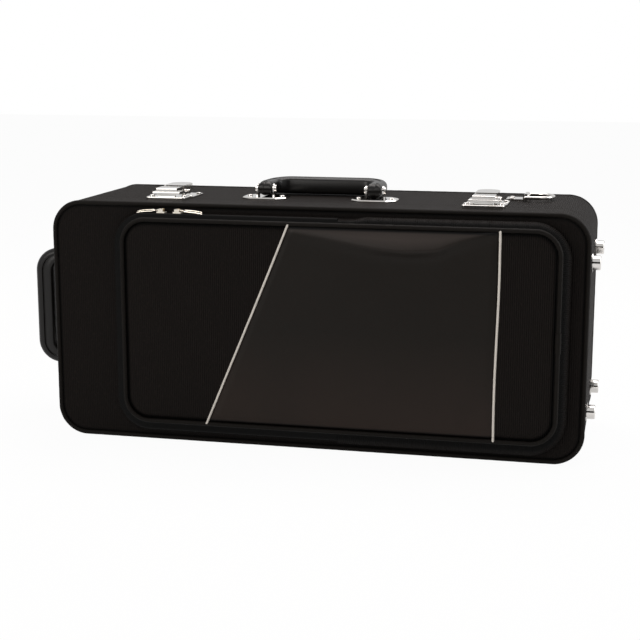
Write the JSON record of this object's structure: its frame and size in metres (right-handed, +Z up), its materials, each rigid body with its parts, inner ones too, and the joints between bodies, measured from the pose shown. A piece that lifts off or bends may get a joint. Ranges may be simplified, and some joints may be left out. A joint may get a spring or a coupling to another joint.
{
  "type": "trumpet case",
  "caption": "Hard rectangular trumpet case in ribbed black fabric, with hinged lid, draw latches, folding handles and a zipped lid pocket with a leather panel.",
  "frame": {"origin": "middle of the long bottom face that the case stands on", "axes": "+X along the case towards the end with the feet, +Y from the lid's front to the base's back, +Z up towards the latches and the top handle"},
  "size_m": [0.6115, 0.1923, 0.2623],
  "materials": {
    "ribbed_fabric": "black ribbed woven nylon",
    "leather": "smooth black-brown leather, soft sheen",
    "dark_piping": "black covered welt cord",
    "light_trim": "pale grey covered welt cord",
    "lined_board": "rigid board lined with black flock",
    "rim_strip": "black moulded strip",
    "plush_foam": "black plush over shaped foam",
    "chrome": "polished chrome plate",
    "hinge_steel": "plain plated steel",
    "handle_plastic": "black moulded grip, satin gloss",
    "zip_teeth": "black zip coil and tape",
    "zip_nickel": "polished nickel"
  },
  "bodies": {
    "base": {"base_board": "lined_board", "base_band_cover": "ribbed_fabric", "base_back_cover": "ribbed_fabric", "base_piping": "dark_piping", "base_rim": "rim_strip", "bed_floor": "plush_foam", "bed_blocks": "plush_foam", "accessory_box": "lined_board", "hinge_base_leaves": "hinge_steel", "hinge_pins": "hinge_steel", "top_handle_bracket_left": "chrome", "top_handle_bracket_right": "chrome", "top_handle_pins": "chrome", "end_handle_bracket_lower": "chrome", "end_handle_bracket_upper": "chrome", "end_handle_pins": "chrome", "latch_base_left": "chrome", "latch_base_right": "chrome", "latch_pins_left": "chrome", "latch_pins_right": "chrome", "strap_ring_plate": "chrome", "base_rivets": "chrome", "feet_on_base": "chrome"},
    "lid": {"lid_board": "lined_board", "lid_band_cover": "ribbed_fabric", "lid_front_cover": "ribbed_fabric", "lid_piping": "dark_piping", "lid_padding": "plush_foam", "hinge_lid_leaves": "hinge_steel", "latch_keeper_left": "chrome", "latch_keeper_right": "chrome", "lid_rivets": "chrome", "feet_on_lid": "chrome", "pocket_gusset_left": "ribbed_fabric", "pocket_gusset_right": "ribbed_fabric", "pocket_piping": "dark_piping", "pocket_leather_panel": "leather", "pocket_ribbed_panel": "ribbed_fabric", "pocket_light_trim": "light_trim", "piping_sleeve": "dark_piping", "zip_teeth_lid": "zip_teeth"},
    "pocket_flap": {"flap_ribbed_panel": "ribbed_fabric", "flap_leather_panel": "leather", "flap_light_trim": "light_trim", "flap_gusset": "ribbed_fabric", "flap_piping": "dark_piping", "zip_teeth_flap": "zip_teeth"},
    "top_handle": {"top_handle_grip": "handle_plastic"},
    "end_handle": {"end_handle_grip": "handle_plastic"},
    "lever_left": {"latch_lever_left": "chrome"},
    "hook_left": {"latch_hook_left": "chrome"},
    "lever_right": {"latch_lever_right": "chrome"},
    "hook_right": {"latch_hook_right": "chrome"},
    "ring": {"strap_ring": "chrome"},
    "slider_left": {"zip_slider_left": "zip_nickel"},
    "pull_left": {"zip_pull_left": "zip_nickel"},
    "slider_right": {"zip_slider_right": "zip_nickel"},
    "pull_right": {"zip_pull_right": "zip_nickel"}
  },
  "joints": [
    {"name": "lid_hinge", "type": "hinge", "parent": "base", "child": "lid", "pos_m": [0, -0.0405, 0.0026], "axis": [1, 0, 0], "range_deg": [0, 100]},
    {"name": "pocket_flap_fold", "type": "hinge", "parent": "lid", "child": "pocket_flap", "pos_m": [0.02895, -0.1077, 0.122], "axis": [0, 0, 1], "range_deg": [0, 120]},
    {"name": "top_handle_swing", "type": "hinge", "parent": "base", "child": "top_handle", "pos_m": [-0.006, -0.0165, 0.2545], "axis": [1, 0, 0], "range_deg": [0, 170]},
    {"name": "end_handle_swing", "type": "hinge", "parent": "base", "child": "end_handle", "pos_m": [-0.2805, 0.0125, 0.116], "axis": [0, 0, 1], "range_deg": [-80, 80]},
    {"name": "strap_ring_swing", "type": "hinge", "parent": "base", "child": "ring", "pos_m": [0.2, 0.0275, 0.2479], "axis": [0, -1, 0], "range_deg": [0, 150]},
    {"name": "latch_lever_left_lift", "type": "hinge", "parent": "base", "child": "lever_left", "pos_m": [-0.157, -0.0303, 0.2506], "axis": [1, 0, 0], "range_deg": [0, 110]},
    {"name": "latch_hook_left_swing", "type": "hinge", "parent": "lever_left", "child": "hook_left", "pos_m": [-0.157, -0.0243, 0.2496], "axis": [1, 0, 0], "range_deg": [-132, 0]},
    {"name": "zip_slider_left_travel", "type": "slide", "parent": "lid", "child": "slider_left", "axis": [-1, 0, 0], "range_m": [0, 0.02]},
    {"name": "zip_pull_left_swing", "type": "hinge", "parent": "slider_left", "child": "pull_left", "pos_m": [-0.15156, -0.0905, 0.23784], "axis": [0, 1, 0], "range_deg": [0, 100]},
    {"name": "latch_lever_right_lift", "type": "hinge", "parent": "base", "child": "lever_right", "pos_m": [0.165, -0.0303, 0.2506], "axis": [1, 0, 0], "range_deg": [0, 110]},
    {"name": "latch_hook_right_swing", "type": "hinge", "parent": "lever_right", "child": "hook_right", "pos_m": [0.165, -0.0243, 0.2496], "axis": [1, 0, 0], "range_deg": [-132, 0]},
    {"name": "zip_slider_right_travel", "type": "slide", "parent": "lid", "child": "slider_right", "axis": [1, 0, 0], "range_m": [0, 0.15]},
    {"name": "zip_pull_right_swing", "type": "hinge", "parent": "slider_right", "child": "pull_right", "pos_m": [-0.13456, -0.0905, 0.23784], "axis": [0, -1, 0], "range_deg": [0, 100]}
  ],
  "couplings": [
    {"joint": "latch_hook_left_swing", "follows": "latch_lever_left_lift", "ratio": -1.2},
    {"joint": "latch_hook_right_swing", "follows": "latch_lever_right_lift", "ratio": -1.2}
  ]
}
